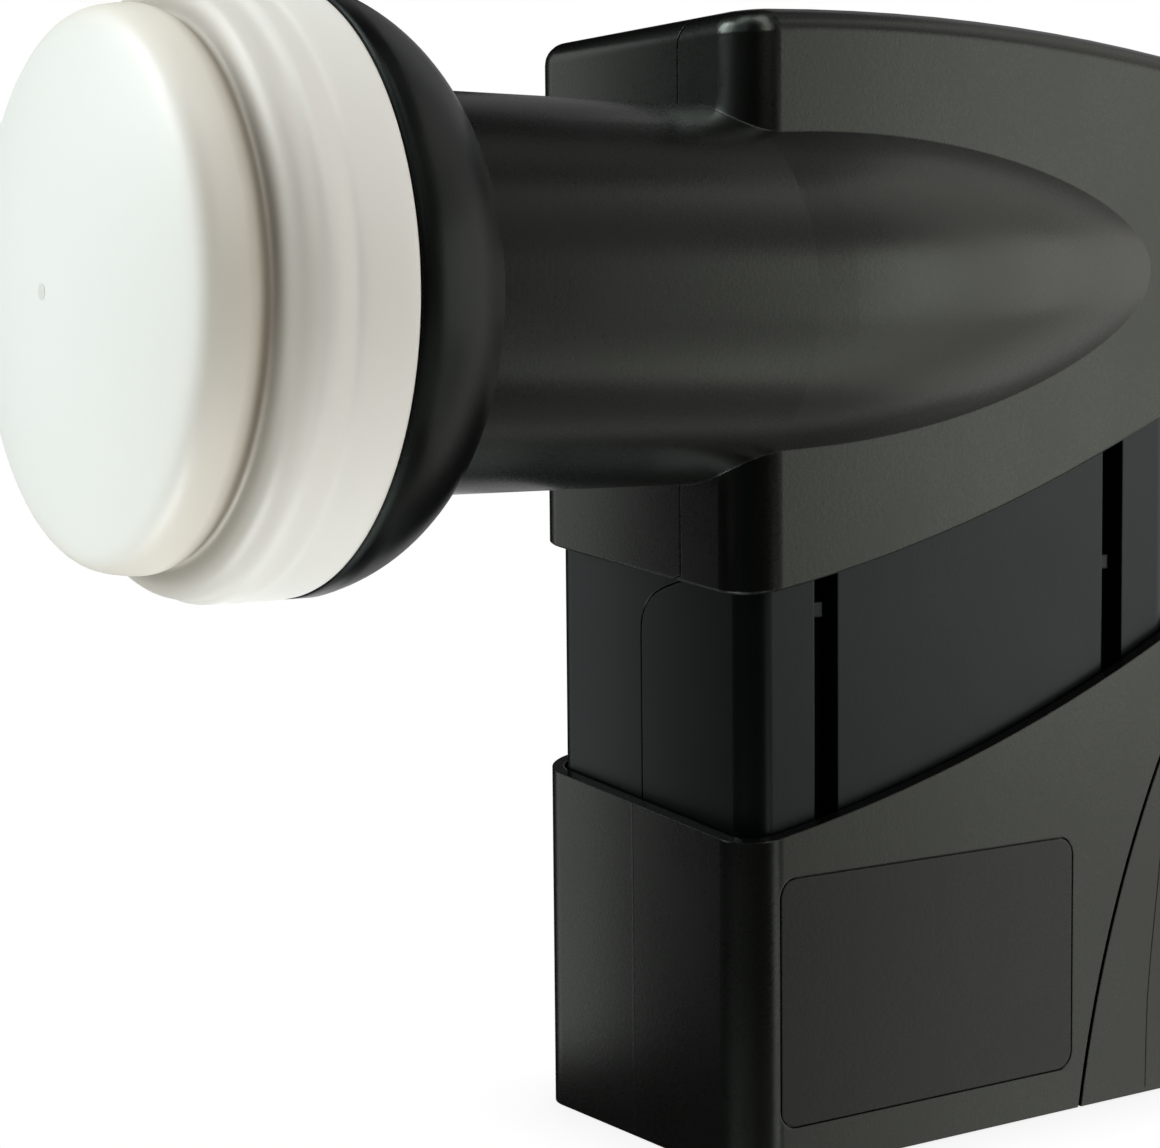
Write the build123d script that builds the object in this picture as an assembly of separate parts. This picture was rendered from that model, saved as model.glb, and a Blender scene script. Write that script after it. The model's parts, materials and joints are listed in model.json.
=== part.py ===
"""Satellite LNB: a capped feed and neck on a slim housing, whose weather sleeve slides over the connectors.

The origin is the middle of the 40 mm clamp neck, on its axis. The feed faces -Y, +Z is up and the fairing
of the neck shows on the +X side.
"""
import math
import os

from build123d import *

# Driving dimensions, in millimetres and degrees
# Neck
NECK_R = 20.0
NECK_LENGTH = 36.2
FAIRING_START = 8.0
FAIRING_TIP_FROM_REAR = 7.9
FAIRING_PIVOT = 3.0
FAIRING_TILT = 3.2
FAIRING_OVERRUN = 2.0

# Upper housing
HOUSING_WIDTH = 40.3
HOUSING_DEPTH = 66.5
NECK_TO_NEAR_SIDE = 11.5
CORNER_R = 4.8
MIN_CORNER_R = 0.5
ROOF_FRONT_Z = 28.9
ROOF_MID_Z = 29.7
ROOF_REAR_Z = 26.9
ROOF_FILLET = 2.5
SHELL_WALL = 2.0
SEAM_GAP = 0.15

# Hem: the lower edge of the upper housing, which the top of the sleeve repeats
HEM_FRONT_Z = -31.6
HEM_MID_Z = -24.1
HEM_REAR_Z = -11.0
HEM_SLANT = 0.1
HEM_CHAMFER = 0.25

# Seam between the half shells, on the front
SEAM_TOP_X = 3.7
SEAM_TURN_DROP = 3.5
SEAM_TURN_R = 5.0
SEAM_STEP_RISE = 1.9
SEAM_LOW_X = -9.9
SEAM_CURVE_DROP = 7.0
SEAM_STEP_SLOPE = 0.5

# Slim body and its guide slots
BODY_BOTTOM_Z = -68.0
SLOT_FROM_END = 12.05
SLOT_WIDTH = 3.2
SLOT_DEPTH = 2.9
SLOT_END_Z = -64.3
NUB_LENGTH = 2.0
NUB_HEIGHT = 1.6
NUB_PROUD = 1.8
NUB_BELOW_HEM = (3.2, 13.3)

# Weather sleeve
SLEEVE_WALL = 1.4
SLIDE_CLEARANCE = 0.4
SLIDE_TRAVEL = 25.8
CLOSED_GAP = 0.3
SLEEVE_BOTTOM_Z = -93.2
RIB_CLEARANCE = 0.3
RIB_HEIGHT = 3.8
RIB_FLOOR_GAP = 0.6
LABEL_FROM_FRONT = 4.5
LABEL_LENGTH = 42.1
LABEL_HEIGHT = 26.7
LABEL_ABOVE_FOOT = 5.0
LABEL_CORNER_R = 2.0
LABEL_THICKNESS = 0.45
LABEL_EDGE_GAP = 0.2
GROOVE_WIDTH = 0.5
GROOVE_DEPTH = 0.5
GROOVE_FOOT_FROM_REAR = 18.8
GROOVE_MID_FROM_REAR = 13.3
GROOVE_TOP_FROM_REAR = 1.0
GROOVE_MID_ABOVE_FOOT = 22.0
GROOVE_TOP_ABOVE_FOOT = 48.5

# Cap, its seal and the collar
CAP_FLARE = 9.4
CAP_LENGTH = 22.9
CAP_WALL = 1.6
CAP_STEP = 0.15
CAP_STEP_LENGTH = 2.9
CAP_RIM_LENGTH = 6.0
CAP_FLARE_ROUND = 2.0
DOME_RISE = 3.6
DOME_R = 24.4
DOME_ROUND = 1.5
BAND_LENGTH = 3.9
BAND_TAPER = 0.4
CAP_GROOVE_DEPTH = 1.3
CAP_GROOVE_WIDTH = 1.2
SEAT_CLEARANCE = 0.1
COLLAR_LENGTH = 12.3
COLLAR_LAND = 2.1
COLLAR_REAR_LIP = 3.0
COLLAR_BULGE = 1.0
SPIGOT_SHORT = 1.0
SPIGOT_WALL = 3.2
SEAL_WIDTH = 1.6
SEAL_DEPTH = 1.2

# Casting: horn, waveguide, board tray and connector bar
WAVEGUIDE_R = 9.5
TUBE_WALL = 3.0
WAVEGUIDE_REAR = 30.0
WAVEGUIDE_END_WALL = 2.5
HORN_LENGTH = 9.5
HORN_MOUTH_R = 14.5
CHOKE_COUNT = 2
CHOKE_WALL = 1.3
CHOKE_WIDTH = 2.2
CHOKE_DEPTH = 6.0
FLANGE_THICKNESS = 3.0
NECK_RING_WIDTH = 2.5
NECK_RING_INSET = 7.0
TRAY_WALL = 2.5
TRAY_PROUD = 1.0
TRAY_MARGIN = 6.0
BAR_HEIGHT = 7.0
BAR_WIDTH = 15.0
BAR_END_CLEARANCE = 0.3

# Board, shield, probes and screws
BOARD_THICKNESS = 1.6
BOARD_MARGIN = 1.0
CHIP_COUNT = 4
CHIP_SIZE = (5.0, 7.0, 1.2)
SHIELD_HEIGHT = 4.0
SHIELD_WALL = 0.8
SHIELD_MARGIN = 3.0
SHIELD_ABOVE_BOARD_EDGE = 18.0
PROBE_R = 0.6
PROBE_REACH = 5.5
PROBE_SPACING = 6.0
PROBE_FROM_END = 5.0
PROBE_BEND_R = 1.8
INSULATOR_R = 2.0
SCREW_R = 1.25
SCREW_HEAD_R = 2.6
SCREW_HEAD_HEIGHT = 1.6
SCREW_BITE = 2.0
POST_R = 3.5
POST_HOLE_DEPTH = 8.0
UPPER_POST_FROM_REAR = 10.0
UPPER_POST_BELOW_ROOF = 12.0
LOWER_POST_ABOVE_BAR = 10.0

# F connectors
CONNECTOR_COUNT = 4
CONNECTOR_PITCH = 13.6
THREAD_R = 4.76
THREAD_LENGTH = 11.3
SHANK_R = 4.9
HEX_ACROSS_FLATS = 12.0
HEX_HEIGHT = 3.0
CONNECTOR_BORE_R = 3.3
CONTACT_R = 0.55
CONTACT_TAIL = 2.0
CONNECTOR_SEAL_HEIGHT = 1.0
CONNECTOR_LIP = 1.0

# Places worked out from the dimensions
FRONT_Y = NECK_LENGTH / 2
REAR_Y = FRONT_Y + HOUSING_DEPTH
MID_Y = FRONT_Y + HOUSING_DEPTH / 2
NEAR_X = NECK_TO_NEAR_SIDE
FAR_X = NEAR_X - HOUSING_WIDTH
MID_X = (NEAR_X + FAR_X) / 2
INSET = SLEEVE_WALL + SLIDE_CLEARANCE
FAIRING_LENGTH = HOUSING_DEPTH - FAIRING_START - FAIRING_TIP_FROM_REAR
COLLAR_REAR_Y = -NECK_LENGTH / 2
COLLAR_FRONT_Y = COLLAR_REAR_Y - COLLAR_LENGTH
CAP_APEX_Y = COLLAR_FRONT_Y - CAP_LENGTH
CAP_R = NECK_R + CAP_FLARE
BAND_R = DOME_R + DOME_ROUND
SPIGOT_LENGTH = CAP_RIM_LENGTH - SPIGOT_SHORT
SPIGOT_R = CAP_R - CAP_WALL - SEAT_CLEARANCE
FLANGE_R = SPIGOT_R - SPIGOT_WALL - SEAT_CLEARANCE
NECK_TIP_Y = COLLAR_FRONT_Y + FLANGE_THICKNESS
TUBE_R = WAVEGUIDE_R + TUBE_WALL
TUBE_REAR_Y = FRONT_Y + WAVEGUIDE_REAR
BOARD_SEAT_X = -TUBE_R - TRAY_PROUD
BOARD_FACE_X = BOARD_SEAT_X - BOARD_THICKNESS
FLOOR_Z = BODY_BOTTOM_Z + SHELL_WALL
SLIM_TOP_Z = HEM_REAR_Z + HEM_SLANT * HOUSING_WIDTH + 2 * SHELL_WALL
BAR_TOP_Z = FLOOR_Z + BAR_HEIGHT
TRAY_TOP_Z = ROOF_REAR_Z - SHELL_WALL - ROOF_FILLET
SLEEVE_DROP = SLIDE_TRAVEL + CLOSED_GAP
SLOT_CENTRES_Y = (FRONT_Y + SLOT_FROM_END, REAR_Y - SLOT_FROM_END)
CONNECTOR_YS = [MID_Y + (i - (CONNECTOR_COUNT - 1) / 2) * CONNECTOR_PITCH for i in range(CONNECTOR_COUNT)]
PROBE_YS = (TUBE_REAR_Y - WAVEGUIDE_END_WALL - PROBE_FROM_END - PROBE_SPACING,
            TUBE_REAR_Y - WAVEGUIDE_END_WALL - PROBE_FROM_END)
POST_PLACES = ((REAR_Y - UPPER_POST_FROM_REAR, ROOF_REAR_Z - UPPER_POST_BELOW_ROOF),
               (MID_Y, BAR_TOP_Z + LOWER_POST_ABOVE_BAR))
POST_WALL_XS = (NEAR_X - SHELL_WALL / 2, NEAR_X - INSET - SHELL_WALL / 2)
CONNECTOR_HEX_LOW_Z = BODY_BOTTOM_Z - CONNECTOR_SEAL_HEIGHT - HEX_HEIGHT
CONNECTOR_TIP_Z = CONNECTOR_HEX_LOW_Z - THREAD_LENGTH
FAR_AWAY = 3 * HOUSING_DEPTH
OVERCUT = 1.0


def box_between(x0, x1, y0, y1, z0, z1):
    """A box from its low and high corners."""
    return Pos((x0 + x1) / 2, (y0 + y1) / 2, (z0 + z1) / 2) * Box(x1 - x0, y1 - y0, z1 - z0)


def rod(start, end, radius):
    """A round rod between two points."""
    a = Vector(*start)
    b = Vector(*end)
    return extrude(Plane(a, z_dir=b - a) * Circle(radius), (b - a).length)


def turned(*profile):
    """A solid turned about the neck axis from edges in (radius, y)."""
    return revolve(make_face(profile), Axis.Y)


def turned_ring(inner_r, outer_r, y0, y1):
    """A plain ring about the neck axis."""
    return turned(Polyline((inner_r, y0), (outer_r, y0), (outer_r, y1), (inner_r, y1), close=True))


def plan_column(inset, z0, z1):
    """The housing's rounded outline seen from above, drawn in by inset and raised from z0 to z1."""
    corner_r = max(CORNER_R - inset, MIN_CORNER_R)
    outline = RectangleRounded(HOUSING_WIDTH - 2 * inset, HOUSING_DEPTH - 2 * inset, corner_r)
    return Pos(MID_X, MID_Y, z0) * extrude(outline, z1 - z0)


def hem_z(y):
    """Height of the hem on the near side at y, on the arc through its three points."""
    arc = ThreePointArc((FRONT_Y, HEM_FRONT_Z), (MID_Y, HEM_MID_Z), (REAR_Y, HEM_REAR_Z))
    return arc.arc_center.Y - math.sqrt(arc.radius ** 2 - (y - arc.arc_center.X) ** 2)


def hem_half(drop, below):
    """Everything below (or above) the hem curve lowered by drop; the hem rises a little to the far side."""
    start_x = NEAR_X + HOUSING_WIDTH
    shift = -drop - HEM_SLANT * HOUSING_WIDTH
    edge = FAR_AWAY * (-1 if below else 1)
    y0 = FRONT_Y - CORNER_R
    y1 = REAR_Y + CORNER_R
    start = (y0, hem_z(y0) + shift)
    end = (y1, hem_z(y1) + shift)
    curve = ThreePointArc(start, (MID_Y, HEM_MID_Z + shift), end)
    side = make_face([curve, Polyline(end, (y1, edge), (y0, edge), start)])
    return extrude(Plane.YZ.offset(start_x) * side, FAR_AWAY, dir=(-1, 0, HEM_SLANT))


def roof_block(inset):
    """The upper housing down to the floor, drawn in by inset, under its gently arched roof."""
    front = (FRONT_Y, ROOF_FRONT_Z - inset)
    rear = (REAR_Y, ROOF_REAR_Z - inset)
    side = make_face([
        ThreePointArc(front, (MID_Y, ROOF_MID_Z - inset), rear),
        Polyline(rear, (REAR_Y, FLOOR_Z), (FRONT_Y, FLOOR_Z), front),
    ])
    slab = extrude(Plane.YZ * side, FAR_AWAY, both=True)
    block = plan_column(inset, FLOOR_Z, ROOF_MID_Z + ROOF_FILLET) & slab
    rim = block.faces().sort_by(Axis.Z)[-1].edges()
    return fillet(rim, max(ROOF_FILLET - inset, MIN_CORNER_R))


def neck_and_fairing(inset, front_y):
    """The neck and the bullet it runs out into, which tilts up to its tip and meets the neck in a mitre."""
    start_r = NECK_R - inset
    drop = NECK_R - NEAR_X
    radius = (FAIRING_LENGTH ** 2 + drop ** 2) / (2 * drop)
    y0 = FRONT_Y - FAIRING_PIVOT
    y1 = FRONT_Y + FAIRING_START
    y2 = y1 + FAIRING_LENGTH + FAIRING_OVERRUN

    def radius_at(y):
        return start_r - radius + math.sqrt(radius ** 2 - (y - y1) ** 2)

    bullet = turned(
        Polyline((radius_at(y2), y2), (0, y2), (0, y0), (start_r, y0), (start_r, y1)),
        ThreePointArc((start_r, y1), (radius_at((y1 + y2) / 2), (y1 + y2) / 2), (radius_at(y2), y2)),
    )
    pivot = (0, FRONT_Y + FAIRING_PIVOT, 0)
    half_tilt = math.radians(FAIRING_TILT / 2)
    mitre = Plane(pivot, z_dir=(0, math.cos(half_tilt), math.sin(half_tilt)))
    bullet = bullet.rotate(Axis(pivot, (1, 0, 0)), FAIRING_TILT)
    neck = turned_ring(0, start_r, front_y, y1)
    return split(neck, bisect_by=mitre, keep=Keep.BOTTOM) + split(bullet, bisect_by=mitre, keep=Keep.TOP)


def slot_boxes(depth, margin, low_z):
    """One box at each guide slot, on both sides of the slim body."""
    boxes = []
    half = SLOT_WIDTH / 2 + margin
    near = NEAR_X - INSET
    far = FAR_X + INSET
    for y in SLOT_CENTRES_Y:
        boxes.append(box_between(near - depth, near + INSET, y - half, y + half, low_z, SLIM_TOP_Z + OVERCUT))
        boxes.append(box_between(far - INSET, far + depth, y - half, y + half, low_z, SLIM_TOP_Z + OVERCUT))
    return boxes


def slot_nubs():
    """The small stop in the top of each guide slot, on the slot's front wall."""
    nubs = []
    for y, below in zip(SLOT_CENTRES_Y, NUB_BELOW_HEM):
        y0 = y - SLOT_WIDTH / 2
        z1 = hem_z(y) - below
        near_floor = NEAR_X - INSET - SLOT_DEPTH
        far_floor = FAR_X + INSET + SLOT_DEPTH
        nubs.append(box_between(near_floor, near_floor + NUB_PROUD, y0, y0 + NUB_LENGTH, z1 - NUB_HEIGHT, z1))
        nubs.append(box_between(far_floor - NUB_PROUD, far_floor, y0, y0 + NUB_LENGTH, z1 - NUB_HEIGHT, z1))
    return nubs


def housing_outside():
    """The outer form of both half shells: neck, fairing, upper housing and slim body."""
    upper = roof_block(0) - hem_half(0, below=True)
    hem_face = upper.faces().sort_by(Axis.Z)[0]
    upper = chamfer(hem_face.edges(), HEM_CHAMFER)
    slim = plan_column(INSET, BODY_BOTTOM_Z, SLIM_TOP_Z)
    for slot in slot_boxes(SLOT_DEPTH, 0, SLOT_END_Z):
        slim -= slot
    for nub in slot_nubs():
        slim += nub
    return upper + slim + neck_and_fairing(0, NECK_TIP_Y)


def housing_hollows():
    """The hollows of the half shells: the upper housing's, the slim body's and the neck's."""
    hollow = plan_column(INSET + SHELL_WALL, FLOOR_Z, SLIM_TOP_Z)
    for boss in slot_boxes(SLOT_DEPTH + SHELL_WALL, SHELL_WALL, SLOT_END_Z - SHELL_WALL):
        hollow -= boss
    attic = roof_block(SHELL_WALL) & hem_half(-SHELL_WALL, below=False)
    return attic, hollow, neck_and_fairing(SHELL_WALL, NECK_TIP_Y - OVERCUT)


def seam_prism(offset, far_side):
    """Everything on one side of the seam, which steps from the neck's plane to the slim body's middle."""
    edge = -FAR_AWAY if far_side else FAR_AWAY
    turn = (offset, ROOF_FRONT_Z - SEAM_TURN_DROP - offset)
    turn_rise = math.sqrt(SEAM_TURN_R ** 2 - (SEAM_TURN_R - SEAM_TOP_X) ** 2)
    top = (turn[0] + SEAM_TOP_X, turn[1] + turn_rise)
    step = (offset, HEM_FRONT_Z + SEAM_STEP_RISE - offset)
    low = (SEAM_LOW_X + offset, step[1] - SEAM_CURVE_DROP)
    face = make_face([
        TangentArc(turn, top, tangent=(0, 1)),
        Line(turn, step),
        Spline(step, low, tangents=((-1, -SEAM_STEP_SLOPE), (0, -1))),
        Polyline(low, (low[0], -FAR_AWAY), (edge, -FAR_AWAY), (edge, FAR_AWAY), (top[0], FAR_AWAY), top),
    ])
    return extrude(Plane.XZ * face, FAR_AWAY, both=True)


def upright(y, radius, z0, z1):
    """An upright round bar on the connectors' row."""
    return Pos(MID_X, y, z0) * extrude(Circle(radius), z1 - z0)


def connector_holes(radius, z0, z1):
    """One upright round bar at each connector."""
    return [upright(y, radius, z0, z1) for y in CONNECTOR_YS]


def housing_half(offset, far_side):
    """One half shell: the outside on its side of the seam, hollowed, with half of the waveguide rings."""
    side = seam_prism(offset, far_side)
    half = housing_outside() & side
    for hollow in housing_hollows():
        half -= hollow
    for y in (NECK_TIP_Y + NECK_RING_INSET, FRONT_Y - NECK_RING_INSET):
        half += turned_ring(TUBE_R + SEAT_CLEARANCE, NECK_R - SHELL_WALL / 2, y, y + NECK_RING_WIDTH) & side
    for hole in connector_holes(SHANK_R + SEAT_CLEARANCE, BODY_BOTTOM_Z - OVERCUT, FLOOR_Z + OVERCUT):
        half -= hole
    return half


def housing_right():
    """The near half shell, with the posts that carry the tray."""
    half = housing_half(SEAM_GAP / 2, far_side=False)
    tray_inner_x = BOARD_SEAT_X + TRAY_WALL
    for (y, z), wall_x in zip(POST_PLACES, POST_WALL_XS):
        half += rod((tray_inner_x, y, z), (wall_x, y, z), POST_R)
        half -= rod((tray_inner_x, y, z), (tray_inner_x + POST_HOLE_DEPTH, y, z), SCREW_R + SEAT_CLEARANCE)
    return half


def weather_sleeve():
    """The open tube that slides on the slim body, with guide ribs, a label recess and a styling groove."""
    keep = hem_half(SLEEVE_DROP, below=True)
    sleeve = plan_column(0, SLEEVE_BOTTOM_Z, SLIM_TOP_Z) & keep
    sleeve -= plan_column(SLEEVE_WALL, SLEEVE_BOTTOM_Z - OVERCUT, SLIM_TOP_Z + OVERCUT)
    rib_low = SLOT_END_Z + RIB_CLEARANCE
    rib_half = SLOT_WIDTH / 2 - RIB_CLEARANCE
    rib_in = SLEEVE_WALL + SLIDE_CLEARANCE + SLOT_DEPTH - RIB_FLOOR_GAP
    rib_out = SLEEVE_WALL / 2
    for y in SLOT_CENTRES_Y:
        for x0, x1 in ((NEAR_X - rib_in, NEAR_X - rib_out), (FAR_X + rib_out, FAR_X + rib_in)):
            sleeve += box_between(x0, x1, y - rib_half, y + rib_half, rib_low, rib_low + RIB_HEIGHT)
    sleeve -= label_slab(LABEL_EDGE_GAP)
    for groove in styling_grooves():
        sleeve -= groove
    return sleeve


def label_slab(grow):
    """The label's rounded plate on the near side, grown all round by grow and standing out past the wall."""
    y = FRONT_Y + LABEL_FROM_FRONT + LABEL_LENGTH / 2
    z = SLEEVE_BOTTOM_Z + LABEL_ABOVE_FOOT + LABEL_HEIGHT / 2
    outline = RectangleRounded(LABEL_LENGTH + 2 * grow, LABEL_HEIGHT + 2 * grow, LABEL_CORNER_R + grow)
    return extrude(Plane.YZ.offset(NEAR_X - LABEL_THICKNESS) * Pos(y, z) * outline, LABEL_THICKNESS + OVERCUT)


def label_plate():
    """The bare plate in the sleeve's label recess, flush with the side."""
    side = box_between(NEAR_X - SLEEVE_WALL, NEAR_X, FRONT_Y, REAR_Y, SLEEVE_BOTTOM_Z, 0)
    return label_slab(0) & side


def styling_grooves():
    """The fine curved groove near the rear of both sides of the sleeve."""
    foot = (REAR_Y - GROOVE_FOOT_FROM_REAR, SLEEVE_BOTTOM_Z - OVERCUT)
    middle = (REAR_Y - GROOVE_MID_FROM_REAR, SLEEVE_BOTTOM_Z + GROOVE_MID_ABOVE_FOOT)
    top = (REAR_Y - GROOVE_TOP_FROM_REAR, SLEEVE_BOTTOM_Z + GROOVE_TOP_ABOVE_FOOT)

    def moved(point):
        return (point[0] + GROOVE_WIDTH, point[1])

    strip = make_face([
        ThreePointArc(foot, middle, top),
        Line(top, moved(top)),
        ThreePointArc(moved(top), moved(middle), moved(foot)),
        Line(moved(foot), foot),
    ])
    return [extrude(Plane.YZ.offset(x) * strip, 2 * GROOVE_DEPTH)
            for x in (NEAR_X - GROOVE_DEPTH, FAR_X - GROOVE_DEPTH)]


def cap_outline(inset):
    """The cap's profile from its apex to its rim, in (radius, y), drawn in by inset."""
    apex_y = CAP_APEX_Y + inset
    dome_y = CAP_APEX_Y + DOME_RISE + inset / 2
    band_y = dome_y + DOME_ROUND
    groove_y = band_y + BAND_LENGTH
    flare_y = groove_y + CAP_GROOVE_WIDTH + inset / 2
    rim_y = COLLAR_FRONT_Y - CAP_RIM_LENGTH
    step_y = rim_y - CAP_STEP_LENGTH
    dome_r = DOME_R - inset
    band_r = BAND_R - inset
    band_end_r = band_r + BAND_TAPER
    groove_r = band_end_r - CAP_GROOVE_DEPTH
    rim_r = CAP_R - inset
    first_r = rim_r - 2 * CAP_STEP
    second_r = rim_r - CAP_STEP
    shoulder = (first_r - CAP_FLARE_ROUND, flare_y)
    shoulder_end = (first_r, flare_y + CAP_FLARE_ROUND)
    return [
        TangentArc((0, apex_y), (dome_r, dome_y), tangent=(1, 0)),
        TangentArc((band_r, band_y), (dome_r, dome_y), tangent=(0, -1)),
        Polyline((band_r, band_y), (band_end_r, groove_y), (groove_r, groove_y), (groove_r, flare_y),
                 shoulder),
        TangentArc(shoulder, shoulder_end, tangent=(1, 0)),
        Polyline(shoulder_end, (first_r, step_y), (second_r, step_y + CAP_STEP),
                 (second_r, rim_y), (rim_r, rim_y + CAP_STEP), (rim_r, COLLAR_FRONT_Y),
                 (0, COLLAR_FRONT_Y), (0, apex_y)),
    ]


def feed_cap():
    """The white cap over the horn, one thin turned wall with a domed face."""
    return turned(*cap_outline(0)) - turned(*cap_outline(CAP_WALL))


def neck_collar():
    """The black ring round the neck's front end, with a spigot that the cap snaps over."""
    land_r = CAP_R - SEAT_CLEARANCE
    rear_r = NECK_R + COLLAR_REAR_LIP
    land_y = COLLAR_FRONT_Y + COLLAR_LAND
    spigot_y = COLLAR_FRONT_Y - SPIGOT_LENGTH
    seat_r = FLANGE_R + SEAT_CLEARANCE
    bore_r = NECK_R + SEAT_CLEARANCE
    bulge = ((land_r + rear_r) / 2 + COLLAR_BULGE, (land_y + COLLAR_REAR_Y) / 2 + COLLAR_BULGE / 2)
    ring = turned(
        Polyline((bore_r, COLLAR_REAR_Y), (bore_r, NECK_TIP_Y), (seat_r, NECK_TIP_Y), (seat_r, spigot_y),
                 (SPIGOT_R, spigot_y), (SPIGOT_R, COLLAR_FRONT_Y), (land_r, COLLAR_FRONT_Y),
                 (land_r, land_y)),
        ThreePointArc((land_r, land_y), bulge, (rear_r, COLLAR_REAR_Y)),
        Line((rear_r, COLLAR_REAR_Y), (bore_r, COLLAR_REAR_Y)),
    )
    return ring - cap_seal(SEAT_CLEARANCE)


def cap_seal(grow=0.0):
    """The rubber ring in the spigot's groove; grown for its groove."""
    y = COLLAR_FRONT_Y - SPIGOT_LENGTH / 2
    half = SEAL_WIDTH / 2 + grow
    return turned_ring(SPIGOT_R - SEAL_DEPTH - grow, SPIGOT_R + grow, y - half, y + half)


def chassis_casting():
    """One aluminium casting: the ringed horn, the waveguide tube, the board tray and the connector bar."""
    mouth_y = COLLAR_FRONT_Y - HORN_LENGTH
    choke_rs = [HORN_MOUTH_R + CHOKE_WALL + i * (CHOKE_WIDTH + CHOKE_WALL) for i in range(CHOKE_COUNT + 1)]
    end_y = TUBE_REAR_Y - WAVEGUIDE_END_WALL
    casting = turned(Polyline(
        (WAVEGUIDE_R, end_y), (0, end_y), (0, TUBE_REAR_Y), (TUBE_R, TUBE_REAR_Y), (TUBE_R, NECK_TIP_Y),
        (FLANGE_R, NECK_TIP_Y), (FLANGE_R, COLLAR_FRONT_Y), (choke_rs[-1], COLLAR_FRONT_Y),
        (choke_rs[-1], mouth_y), (HORN_MOUTH_R, mouth_y), (WAVEGUIDE_R, COLLAR_FRONT_Y), close=True))
    for r in choke_rs[:-1]:
        casting -= turned_ring(r, r + CHOKE_WIDTH, mouth_y - OVERCUT, mouth_y + CHOKE_DEPTH)
    tray_y0 = FRONT_Y + TRAY_MARGIN
    tray_y1 = REAR_Y - TRAY_MARGIN
    tray_back_x = BOARD_SEAT_X + TRAY_WALL
    casting += box_between(BOARD_SEAT_X, tray_back_x, tray_y0, tray_y1, FLOOR_Z, TRAY_TOP_Z)
    bar_half = HOUSING_DEPTH / 2 - INSET - SHELL_WALL - BAR_END_CLEARANCE
    casting += box_between(MID_X - BAR_WIDTH / 2, MID_X + BAR_WIDTH / 2, MID_Y - bar_half, MID_Y + bar_half,
                           FLOOR_Z, BAR_TOP_Z)
    tail_top_z = BAR_TOP_Z + CONTACT_TAIL + OVERCUT
    for hole in connector_holes(SHANK_R + SEAT_CLEARANCE, FLOOR_Z - OVERCUT, tail_top_z):
        casting -= hole
    for hole in probe_sleeves(INSULATOR_R + SEAT_CLEARANCE, TUBE_WALL):
        casting -= hole
    casting -= probe_vertical(SEAT_CLEARANCE)
    hole_x0 = BOARD_SEAT_X - OVERCUT
    hole_x1 = tray_back_x + OVERCUT
    for y, z in list(POST_PLACES) + shield_screw_places():
        casting -= rod((hole_x0, y, z), (hole_x1, y, z), SCREW_R + SEAT_CLEARANCE)
    return casting


def probe_sleeves(radius, overrun):
    """The places where the two probes pass the waveguide wall, as plain rods that run past it by overrun."""
    y0, y1 = PROBE_YS
    across = rod((BOARD_SEAT_X - overrun, y0, 0), (-WAVEGUIDE_R + overrun, y0, 0), radius)
    downward = rod((0, y1, TUBE_R + overrun), (0, y1, WAVEGUIDE_R - overrun), radius)
    return across, downward


def probe_insulators():
    """The plastic sleeves that carry the two probes through the waveguide wall."""
    across, downward = probe_sleeves(INSULATOR_R, 0)
    return [across - probe_horizontal(SEAT_CLEARANCE / 2), downward - probe_vertical(SEAT_CLEARANCE / 2)]


def probe_horizontal(grow=0.0):
    """The straight probe from the board into the waveguide."""
    y = PROBE_YS[0]
    return rod((BOARD_FACE_X, y, 0), (-WAVEGUIDE_R + PROBE_REACH, y, 0), PROBE_R + grow)


def probe_vertical(grow=0.0):
    """The bent probe that comes down into the waveguide from above."""
    y = PROBE_YS[1]
    top_z = TUBE_R + PROBE_BEND_R
    low_z = WAVEGUIDE_R - PROBE_REACH
    path = FilletPolyline((BOARD_FACE_X, y, top_z), (0, y, top_z), (0, y, low_z), radius=PROBE_BEND_R)
    start = Plane((BOARD_FACE_X, y, top_z), z_dir=(1, 0, 0))
    return sweep(start * Circle(PROBE_R + grow), path=path)


def board_edges():
    """The board's low and high corner in (y, z)."""
    y0 = FRONT_Y + TRAY_MARGIN + BOARD_MARGIN
    y1 = REAR_Y - TRAY_MARGIN - BOARD_MARGIN
    return y0, y1, BAR_TOP_Z + BOARD_MARGIN, TRAY_TOP_Z - BOARD_MARGIN


def shield_edges():
    """The shield's low and high corner in (y, z)."""
    z0, z1 = board_edges()[2:]
    boss_half = SLOT_WIDTH / 2 + SHELL_WALL
    y0 = SLOT_CENTRES_Y[0] + boss_half + SEAT_CLEARANCE
    y1 = SLOT_CENTRES_Y[1] - boss_half - SEAT_CLEARANCE
    return y0, y1, z0 + SHIELD_ABOVE_BOARD_EDGE, z1 - SHIELD_MARGIN


def shield_screw_places():
    """One screw in each corner of the shield."""
    y0, y1, z0, z1 = shield_edges()
    inset = SCREW_HEAD_R + SHIELD_WALL
    return [(y, z) for y in (y0 + inset, y1 - inset) for z in (z0 + inset, z1 - inset)]


def main_board():
    """The circuit board on the tray, with clear holes for the screws and probes."""
    y0, y1, z0, z1 = board_edges()
    board = box_between(BOARD_FACE_X, BOARD_SEAT_X, y0, y1, z0, z1)
    for y, z in list(POST_PLACES) + shield_screw_places():
        board -= rod((BOARD_FACE_X - OVERCUT, y, z), (BOARD_SEAT_X + OVERCUT, y, z), SCREW_R + SEAT_CLEARANCE)
    return board - probe_horizontal(SEAT_CLEARANCE / 2) - probe_vertical(SEAT_CLEARANCE / 2)


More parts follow.
